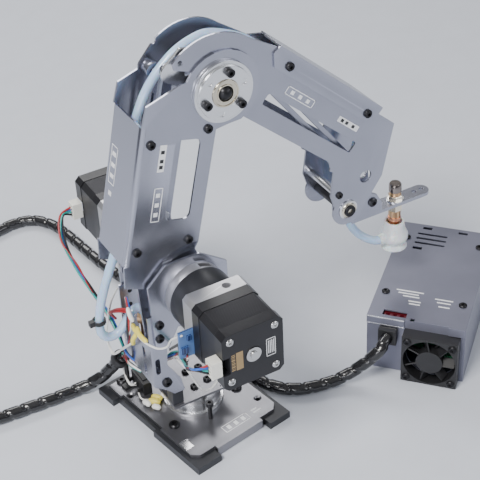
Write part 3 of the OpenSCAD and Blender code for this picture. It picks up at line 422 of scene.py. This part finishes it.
NODE_LOOKS = {
    BLACK_METAL: ["base_frame", "gear_rings", "column_block"],
    GREY: ["base_plate", "turret_plate"],
    BOX_PAINT: ["box_tray", "box_lid"],
    LILAC: ["forearm_cover", "effector_bracket"],
    LILAC_UP: ["turret_column", "near_side_plate", "far_side_plate", "upper_shell", "forearm_plates",
               "level_anchor", "drive_rod", "level_rod", "wrist_rod"],
    BRIGHT: ["bearing_housing", "turntable_hub", "arm_posts", "shoulder_hub", "elbow_flanges",
             "triangle_plate", "forearm_spacers"],
    CAST: ["near_gearbox", "far_gearbox"],
    STEEL: ["shoulder_bearing", "crank", "motor_screws"],
    RING_STEEL: ["elbow_bearings"],
    BLACK_SCREW: ["base_screws", "box_screws", "turret_screws", "arm_screws", "elbow_axle",
                  "forearm_screws", "wrist_axle"],
    MOTOR_BLACK: ["motor_caps"],
    LAMINATE: ["near_motor", "far_motor"],
    BRASS: ["tube_fitting", "crank_bush", "suction_fitting"],
    BLACK_PLASTIC: ["limit_switch", "harness_clamp", "cable_gland", "fan_frame", "fan_rotor", "tube_tie"],
    WHITE_PLASTIC: ["motor_plugs"],
    RED_PLASTIC: ["power_socket"],
    GREEN_BOARD: ["driver_board"],
    BLUE_BOARD: ["sensor_board"],
}
EDGE_WIDTH = {"upper_shell": 0.35, "box_tray": 0.5, "box_lid": 0.5, "base_frame": 0.6, "motor_caps": 0.7,
              "near_gearbox": 0.5, "far_gearbox": 0.5, "base_plate": 0.4}


def dress_nodes():
    """Gives every shown CAD node its material and lightly broken edges."""
    for mat, names in NODE_LOOKS.items():
        for name in names:
            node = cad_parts[name]
            node.data.materials.clear()
            node.data.materials.append(mat)
            weld = node.modifiers.new("weld", "WELD")
            weld.merge_threshold = 0.000005
            flat = node.modifiers.new("flat", "DECIMATE")
            flat.decimate_type = "DISSOLVE"
            flat.angle_limit = math.radians(1.0)
            edge = node.modifiers.new("edge", "BEVEL")
            edge.width = EDGE_WIDTH.get(name, 0.22) * MM
            edge.segments = 2
            edge.limit_method = "ANGLE"
            edge.angle_limit = math.radians(35)
            edge.harden_normals = False


# ---- harness: spiral wrap over a bundle ----
HARNESS_D = 9.0
LIE = HARNESS_D / 2 + 0.1
HARNESS_ROUTE = [
    (-35, 36, 36), (-38, 40, 30), (-42, 44.5, 22), (-48, 49.5, 13), (-57, 53.5, 7),
    (-68, 55.5, LIE), (-86, 56, LIE), (-105, 57, LIE), (-124, 58.5, LIE), (-144, 63, LIE),
    (-162, 73, LIE), (-176, 89, LIE), (-185, 109, LIE), (-188, 131, LIE), (-185, 153, LIE),
    (-177, 175, LIE), (-165, 196, LIE), (-149, 215, LIE), (-130, 232, LIE), (-109, 247, LIE),
    (-86, 259, LIE), (-62, 269, LIE), (-40, 276, LIE), (-24, 278.5, LIE), (-9, 274, LIE),
    (1, 261, LIE), (6, 244, LIE), (9, 224, LIE), (11.5, 203, LIE), (14.5, 182, LIE),
    (19, 161, LIE), (25, 141, LIE), (31, 121, LIE), (36.5, 101, LIE), (40.5, 81, LIE),
    (43, 61, LIE), (44.5, 41, LIE), (45.5, 22, LIE), (47, 4, LIE), (51, -11, LIE),
    (59, -23.5, LIE), (70, -31.5, LIE), (83, -35.5, LIE), (95, -38, 5.5), (105, -41, 9.5),
    (112.5, -44.5, 15.5), (118, -48, 22), (122.5, -50.5, 28), (127, -50.5, 32.5), (132.8, -46.8, 34)
]


def make_harness():
    pitch, gap, depth = 13.0, 0.2, 0.75
    path = spline(HARNESS_ROUTE, 1.0)

    def skin(along, angle):
        turn = (angle / (2 * math.pi) - along / pitch) % 1.0
        ripple = 0.06 * math.sin(angle * 7 + along * 0.9)
        if turn < gap:
            return HARNESS_D / 2 - depth + ripple
        edge = min(turn - gap, 1.0 - turn) * pitch
        return HARNESS_D / 2 - 0.25 * max(0.0, 1.0 - edge / 0.9)
    wrap = tube("harness_wrap", path, skin, HARNESS_WRAP, "root", 28)
    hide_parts("harness")


make_harness()
dress_nodes()

# ---- air tube, in four stretches cut at the joints ----
TUBE_R = 3.0
TUBE_Y = 4.0
TUBE_BASE = [(-30, TUBE_Y, 96), (-31, TUBE_Y, 99), (-33.5, TUBE_Y, 100.5), (-38.5, TUBE_Y, 98),
             (-43.5, TUBE_Y, 91), (-49, TUBE_Y, 86), (-55.5, TUBE_Y, 85.5), (-60, TUBE_Y, 90),
             (-61, TUBE_Y, 98), (-59.5, TUBE_Y, 108), (-57, TUBE_Y, 118), (-53, TUBE_Y, 129),
             (-48.8, TUBE_Y, 139), (-45, TUBE_Y, 147.6)]
TUBE_ARM = [(-44, 42), (-44, 58), (-44, 76), (-44, 94), (-43, 108), (-41.3, 118), (-38.8, 127.5),
            (-35, 136.5), (-29, 146), (-21.5, 154.5), (-12, 161), (-2, 164.5)]
TUBE_FORE = [(9, 31.2), (22, 31.8), (40, 32.6), (60, 33.2), (80, 33.4), (100, 33.2), (117, 31), (130, 25),
             (139.5, 15.5), (145, 3), (147.5, -10)]
CUP_AT = WRIST + Vector((47.9, -6, 0))
PORT_Z = 86.5
TUBE_WRIST = [(132.2, TUBE_Y, 139), (132.9, TUBE_Y, 130), (133, TUBE_Y, 120), (133, TUBE_Y, 111),
              (134.4, 3.2, 103.5), (137.6, 1.4, 97), (142.2, -1.4, 91.8), (147.4, -4.3, 88.3),
              (150.6, -5.6, 87), (CUP_AT.x - 12.9, -6, PORT_Z)]


def make_air_tube():
    """One curve cut at the joints, so the stretches share their end rings."""
    base = [Vector(p) for p in TUBE_BASE]
    arm = [on_arm(f, a, TUBE_Y) for f, a in TUBE_ARM]
    fore = [on_fore(s, t, TUBE_Y) for s, t in TUBE_FORE]
    wrist = [Vector(p) for p in TUBE_WRIST]
    route = spline(base + arm + fore + wrist, 1.5)

    def nearest(p):
        return min(range(len(route)), key=lambda i: (route[i] - p).length)
    cuts = [0, nearest(base[-1]), nearest(arm[-1]), nearest(fore[-1]), len(route) - 1]
    names = ["air_tube_base", "air_tube_upper", "air_tube_fore", "air_tube_wrist"]
    pairs = [("turret", "upper_arm", base[8], base[12]), ("upper_arm", "triangle", arm[4], arm[10]),
             ("triangle", "forearm", arm[-1], fore[1]), ("forearm", "effector", fore[-1], wrist[3])]
    for k, (name, (a, b, start, end)) in enumerate(zip(names, pairs)):
        piece = tube(name + "_skin", route[cuts[k]:cuts[k + 1] + 1], TUBE_R, SILICONE_TUBE, None, 20)
        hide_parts(name)
        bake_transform(piece)


make_air_tube()


# ---- suction cup ----
def make_cup():
    outer = [(5.8, 99.0), (6.9, 99.0), (7.3, 98.2), (7.7, 95), (8.3, 92), (9.2, 90), (10.1, 88.2),
             (10.4, 86.2), (10.1, 84.4), (9.0, 82.9), (8.0, 81.7), (7.8, 80.9), (8.5, 79.8), (9.5, 78.6),
             (9.7, 77.8), (9.4, 77.2)]
    inner = [(8.9, 77.6), (8.2, 79.0), (7.0, 80.4), (6.6, 81.6), (7.2, 83), (7.4, 86), (0, 87.5)]
    shift = Vector((CUP_AT.x, CUP_AT.y, 0))
    profile = [(0, 91), (5.2, 91), (5.6, 95)] + outer + inner
    cup = lathe("cup_body", profile, shift, SILICONE_CUP, "effector", 64)
    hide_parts("suction_cup")
    port = [shift + Vector((x, 0, PORT_Z)) for x in (-7.6, -9, -10.5, -12, -13.2)]
    collar = tube("cup_port", port, lambda d, a: 4.4 - 0.12 * d, SILICONE_CUP, "effector", 28)
    barb = [(0, 91.1), (3.4, 91.1), (4.5, 93.6), (3.6, 94.2), (4.6, 96.8), (3.7, 97.4), (4.7, 100.2),
            (4.7, 103), (0, 103)]
    piece = lathe("cup_barb", barb, shift, COPPER, "effector", 40)


def make_fitting():
    """Nuts and cap of the stem, in their own metals."""
    shift = Vector((CUP_AT.x, CUP_AT.y, 0))
    low, top = WRIST.z - 18.8, WRIST.z - 16.2
    cap = [(0, top + 6.5), (3.9, top + 6.5), (4.5, top + 7.2), (4.5, top + 12.6), (3.8, top + 13.6),
           (0, top + 13.6)]
    lathe("fitting_cap", cap, shift, DARK_STEEL, "effector", 40)
    for name, start, end in (("fitting_nut_top", top + 0.02, top + 4.2),
                             ("fitting_nut_low", low - 6.2, low - 0.02)):
        nut = [(0, start), (4.7, start), (5.35, start + 0.6), (5.35, end - 0.6), (4.7, end), (0, end)]
        lathe(name, nut, shift, RING_STEEL, "effector", 6)
    washer = [(0, top + 0.01), (6.2, top + 0.01), (6.2, top + 0.9), (0, top + 0.9)]
    lathe("fitting_washer", washer, shift, BRIGHT, "effector", 40)


make_cup()
make_fitting()


# ---- wrist: bright washer rings and the nut of the lower pivot ----
def make_wrist_rings():
    for k, y in enumerate((-17.85, 17.85)):
        side = "-Y" if y < 0 else "+Y"
        ring = [(0, 0), (6.9, 0), (7.1, 0.25), (7.1, 0.8), (6.6, 1.05), (0, 1.05)]
        place = WRIST + Vector((0, y, 0))
        lathe("wrist_ring_%d" % k, ring, place, BRIGHT, "forearm", 48, side)
        cup = [(0, 1.0), (5.6, 1.0), (5.6, 1.9), (5.0, 2.3), (4.5, 2.3), (0, 2.3)]
        lathe("wrist_bush_%d" % k, cup, place, RING_STEEL, "forearm", 48, side)
    dome = [(0, 0), (4.4, 0), (4.4, 1.6), (3.4, 2.7), (1.8, 3.3), (0, 3.4)]
    place = WRIST + Vector((13.6, -12.0, 21.6))
    lathe("wrist_pivot_nut", dome, place, BRIGHT, "effector", 40, "-Y")
    head = [(0, 0), (3.4, 0), (3.4, 1.0), (2.6, 1.8), (1.5, 2.0), (1.4, 1.0), (0, 1.0)]
    place = WRIST + Vector((24.4, -12.02, -6.6))
    lathe("ear_screw", head, place, BLACK_SCREW, "effector", 32, "-Y")


make_wrist_rings()


# ---- wires ----
def bundle(prefix, ends, colours, body, spread=2.0, radius=0.75, blend=None):
    """A group of thin wires that part and meet along a shared route."""
    rng = random.Random(prefix)
    for k, colour in enumerate(colours):
        wander = [Vector((rng.uniform(-1, 1), rng.uniform(-1, 1), rng.uniform(-1, 1))) * spread
                  for _ in ends]
        wander[0] = Vector((0, 0, 2.1 * (k - (len(colours) - 1) / 2)))
        wander[-1] = wander[-1] * 0.3
        route = [Vector(p) + w for p, w in zip(ends, wander)]
        piece = tube("%s_%d" % (prefix, k), spline(route, 1.5), radius, WIRES[colour], body, 8)
        if blend:
            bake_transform(piece)


MOTOR_WIRES = ["black", "teal", "blue", "red"]
NEAR_PLUG = SHOULDER + Vector((-28.9, -94, -2))
FAR_PLUG = SHOULDER + Vector((-28.9, 107, -2))
bundle("near_motor_wire", [NEAR_PLUG, NEAR_PLUG + Vector((-6, 3, 0)), (-38, -78, 110), (-32, -62, 99),
                           (-26, -42, 88), (-20, -27, 78), (-20, -16, 69), (-22, -6, 58)],
       MOTOR_WIRES, "turret", 1.2)
bundle("far_motor_wire", [FAR_PLUG, FAR_PLUG + Vector((-7, 0, -1)), (-46, 96, 106), (-46, 76, 96),
                          (-44, 54, 86), (-42, 36, 78), (-41.5, 22, 68), (-40, 12, 56), (-32, 5, 47)],
       MOTOR_WIRES, "turret", 1.6)
bundle("plate_wire", [(-20, -12, 66), (-15, -25, 60), (-10, -25, 46), (-4, -23, 34), (4, -21, 30),
                      (11, -20, 36), (15, -21, 44), (14, -26, 58), (7, -32, 72), (-6, -36, 81),
                      (-18, -33, 81), (-22, -30, 79)],
       ["white"], "turret", 0.4, 0.65)
bundle("board_wire", [(-31, -62.5, 106), (-30, -60, 99), (-26, -44, 88), (-21, -28, 77), (-20, -16, 66),
                      (-22, -6, 56)], ["white", "red", "black"], "turret", 0.9, 0.6)
bundle("sensor_wire", [(-33.5, -62.4, 123), (-36, -52, 114), (-37, -46, 104), (-40, -38, 98), (-43, -30, 97),
                       (-43.5, -20, 96), (-43, -8, 97)], ["white"], "turret", 0.4, 0.7)
bundle("loop_wire", [(-43, -8, 84), (-44, 8, 68), (-44.5, 22, 54), (-44, 32, 46), (-45, 36, 56),
                     (-45, 30, 78), (-44, 22, 98), (-41, 16, 112)],
       ["white", "white"], "turret", 0.8, 0.6)
bundle("rear_wire", [(-42, 6, 74), (-44, 0, 84), (-44.5, -6, 96), (-43, -4, 106), (-41, 2, 114)],
       ["red", "blue", "black", "white"], "turret", 1.6, 0.75)
bundle("rear_red", [(-43, -5, 108), (-46, 4, 104), (-48, 14, 96), (-46, 22, 88), (-41, 26, 80)],
       ["red", "red"], "turret", 1.0, 0.9)
bundle("up_wire", [(-35.5, 36, 36), (-36, 31, 42), (-39, 22, 47), (-40, 12, 48), (-36, 4, 46)],
       ["black", "red", "white", "teal", "black"], None, 1.0, 0.75,
       ("root", "turret", (-0.0355, 0.036, 0.036), (-0.040, 0.012, 0.048)))


def sleeve(name, ends, radius, mat):
    """Short shrink tube over a joint between wires, narrowed at both ends."""
    path = spline(ends, 0.8)
    total = length_of(path)

    def narrowed(along, angle):
        return radius * (0.55 + 0.45 * min(1.0, along / 1.5, (total - along) / 1.5 + 0.01))
    piece = tube(name, path, narrowed, mat, "turret", 14)


sleeve("sleeve_0", [(-42, -6, 97), (-43.5, -13, 97.5), (-42.5, -21, 97)], 1.6, WIRES["yellow"])
sleeve("sleeve_1", [(-42, -13, 99.5), (-43.5, -20, 98.4), (-42.5, -28, 97.5)], 1.6, WIRES["yellow"])
sleeve("sleeve_2", [(-43, -13, 94), (-44.5, -10, 88), (-43.6, -7, 81.5)], 1.6, WIRES["yellow"])
sleeve("sleeve_3", [(-43.8, -12, 104), (-44.4, -9, 108), (-43.6, -5, 111)], 1.6, WIRES["white"])


def make_base_joints():
    """Soldered joints of the limit switch wires, lying on the base plate."""
    spots = [((-30, 11), (-24, 5), 2.4, WIRES["yellow"]), ((-26, 14), (-21, 8), 2.2, WIRES["yellow"]),
             ((-30, 5), (-26.5, 0), 2.1, WIRES["white"]), ((-33, 13), (-31, 6.5), 2.2, WIRES["white"]),
             ((-20, 12), (-15, 7), 2.2, WIRES["white"]), ((-17, 6), (-18, -1), 1.8, WIRES["white"])]
    for k, (a, b, r, mat) in enumerate(spots):
        middle = ((a[0] + b[0]) / 2, (a[1] + b[1]) / 2, PLATE_TOP + 0.7 + r)
        path = spline([(*a, PLATE_TOP + r), middle, (*b, PLATE_TOP + r)], 0.8)
        total = length_of(path)
        piece = tube("base_joint_%d" % k, path,
                     lambda d, q, r=r, n=total: r * (0.6 + 0.4 * min(1.0, d / 1.4, (n - d) / 1.4 + 0.01)),
                     mat, "root", 14)
    bundle("switch_wire", [(-30.5, 30, 12), (-34, 30, 13), (-35.5, 34, 15), (-34, 40, 18), (-35, 40, 26)],
           ["white", "white"], "root", 0.5, 0.6)
    bundle("joint_wire", [(-32.5, 22, 10.5), (-33, 16, 9.6), (-29, 13, 9.2), (-25, 13, 9.4)], ["white"],
           "root", 0.2, 0.6)


make_base_joints()


# ---- printed marks, all of them plain bars and frames, and painted highlight strips on the box lid's lip ----
def face_quad(at, u0, v0, u1, v1):
    """Corners of a rectangle on a face; at(u, v) gives a point of it."""
    return [at(u0, v0), at(u1, v0), at(u1, v1), at(u0, v1)]


def outlined(at, u0, v0, u1, v1, line=0.5, bars=3, along_v=True):
    """Frame of four thin strips with short bars inside."""
    quads = [face_quad(at, u0, v0, u1, v0 + line), face_quad(at, u0, v1 - line, u1, v1),
             face_quad(at, u0, v0, u0 + line, v1), face_quad(at, u1 - line, v0, u1, v1)]
    for k in range(bars):
        if along_v:
            a = v0 + (v1 - v0) * (k + 0.75) / (bars + 0.5)
            quads.append(face_quad(at, u0 + 1.6, a - 1.4, u1 - 1.6, a + 1.4))
        else:
            a = u0 + (u1 - u0) * (k + 0.75) / (bars + 0.5)
            quads.append(face_quad(at, a - 1.4, v0 + 1.6, a + 1.4, v1 - 1.6))
    return quads


BAR_ROWS = ((-7, 0.8), (-5.6, 0.4), (-4.6, 1.1), (-2.9, 0.4), (-2, 0.9), (-0.5, 0.5), (0.6, 1.2), (2.4, 0.4),
            (3.4, 0.8), (4.8, 0.6))
BOX_ROWS = ((14, 20, 32), (16, 15, 29), (20, 12, 26), (25, 9, 21), (26, 8, 18), (43, 13, 28), (45, 10, 24.5),
            (47, 8, 20))


def make_marks():
    lift = 0.02

    def arm_face(f, a):
        return on_arm(f, a, -19.6 - lift)

    def fore_face(s, t):
        return on_fore(s, t, -17.8 - lift)

    def back_face(y, a):
        return on_arm(-51 - lift, a, y)

    def motor_face(x, z):
        return SHOULDER + Vector((x, -98.6 - lift, z))

    def box_face(x, y):
        return on_box(x, y, BOX_H + lift)

    def base_face(x, y):
        return on_base(x, y, PLATE_TOP + lift)

    def tag(at, u0, v0, u1, v1):
        return [face_quad(at, u0, v0, u1, v1)]
    plates("arm_tag", tag(arm_face, -37, 87, -32.5, 105), MARK_WHITE, "upper_arm")
    plates("arm_tag_bars", [face_quad(arm_face, -36, a, -33.5, a + 2.4) for a in (89, 93, 99)],
           BLACK_PLASTIC, "upper_arm", 0.12)
    plates("arm_label", outlined(arm_face, -37, 52.5, -31, 76), MARK_WHITE, "upper_arm")
    plates("arm_back_label", outlined(back_face, 6, 66, 14, 92) + tag(back_face, 8, 58, 12, 61),
           MARK_WHITE, "upper_arm")
    plates("fore_tag", tag(fore_face, 94.5, 18, 114.5, 22), MARK_WHITE, "forearm")
    plates("fore_tag_bars", [face_quad(fore_face, s, 18.9, s + 2.6, 21.1) for s in (97, 101.5, 108)],
           BLACK_PLASTIC, "forearm", 0.12)
    plates("fore_label", outlined(fore_face, 44, 16.6, 69.5, 22.4, along_v=False), MARK_WHITE, "forearm")
    plates("motor_label", tag(motor_face, -12, -7.5, -7.2, 6), MARK_GOLD, "turret")
    plates("motor_label_bars", [face_quad(motor_face, -15.2, z, -12.6, z + h) for z, h in BAR_ROWS],
           MARK_GOLD, "turret", 0.03)
    plates("motor_mark", outlined(motor_face, 9, -6.5, 15.5, 7, 0.4, 0), MARK_WHITE, "turret")
    plates("motor_mark_lines",
           [face_quad(motor_face, x, -4.5, x + 0.55, 5.5) for x in (10.3, 11.5, 12.7, 13.9)],
           MARK_WHITE, "turret", 0.04)
    box = [face_quad(box_face, u, v, u + w, v + 1.2) for u, w, v in BOX_ROWS]
    plates("box_marks", box, MARK_WHITE, "root", 0.05)
    plates("base_label", outlined(base_face, -6, -44, 16, -37, 0.5, 3, False) +
           [face_quad(base_face, 20, -42, 27, -40.6), face_quad(base_face, 20, -39.4, 25, -38)],
           MARK_WHITE, "root", 0.05)
    # Bright metal strips along the box lid's folded lip: a painted highlight on its edges.
    lid_highlight_quads = [[on_box(x, -1.28, z) for x, z in ((0.3, 46.9), (27, 46.9), (27, 47.9), (0.3, 47.9))],
           [on_box(x, -1.28, z) for x, z in ((0.3, 41.0), (27, 41.0), (27, 41.5), (0.3, 41.5))]]
    plates("lid_edge_highlight", lid_highlight_quads, BRIGHT, "root", 0.08)
    plates("base_corner", [face_quad(base_face, -36.8, -38.5, -30.5, -29.5)], BRIGHT, "root", 0.12)


make_marks()


# ---- floor, light ----
def make_floor():
    size = 6.0
    mesh = bpy.data.meshes.new("floor")
    corners = [(-size, -size, 0), (size, -size, 0), (size, size, 0), (-size, size, 0)]
    mesh.from_pydata(corners, [], [(0, 1, 2, 3)])
    floor = bpy.data.objects.new("floor", mesh)
    bpy.context.collection.objects.link(floor)
    floor.data.materials.append(material("floor_paper", (0.62, 0.65, 0.72), 0.0, 0.75,
                                         plastic_detail(60, 0.02, 0.02)))


def make_light(name, place, aim, size, power, colour=(1, 1, 1)):
    data = bpy.data.lights.new(name, "AREA")
    data.shape = "RECTANGLE"
    data.size, data.size_y = size
    data.energy = power
    data.color = colour
    light = bpy.data.objects.new(name, data)
    bpy.context.collection.objects.link(light)
    light.location = place
    light.rotation_euler = (Vector(aim) - Vector(place)).to_track_quat("-Z", "Y").to_euler()


def make_world():
    world = bpy.data.worlds.new("studio")
    bpy.context.scene.world = world
    world.use_nodes = True
    nodes, links = world.node_tree.nodes, world.node_tree.links
    back = nodes["Background"]
    coord = nodes.new("ShaderNodeTexCoord").outputs["Generated"]
    split = nodes.new("ShaderNodeSeparateXYZ")
    links.new(coord, split.inputs["Vector"])
    sky = ramp_of(nodes, links, split.outputs["Z"], 0.0, 0.8, ((0.10, 0.11, 0.14), (1.0, 1.0, 1.0)))
    links.new(sky, back.inputs["Color"])
    back.inputs["Strength"].default_value = 0.48


make_floor()
make_world()
make_light("key", (-0.75, -0.45, 1.25), (0.05, 0, 0.1), (0.5, 0.4), 24, (1.0, 0.98, 0.95))
make_light("fill", (0.9, -0.9, 0.8), (0.05, 0, 0.12), (0.9, 0.5), 5, (0.93, 0.95, 1.0))
make_light("low", (-0.9, -0.9, 0.35), (0.05, 0, 0.15), (0.7, 0.25), 5, (0.95, 0.96, 1.0))
make_light("rim", (0.2, 1.2, 1.1), (0, 0, 0.15), (1.2, 0.4), 12)
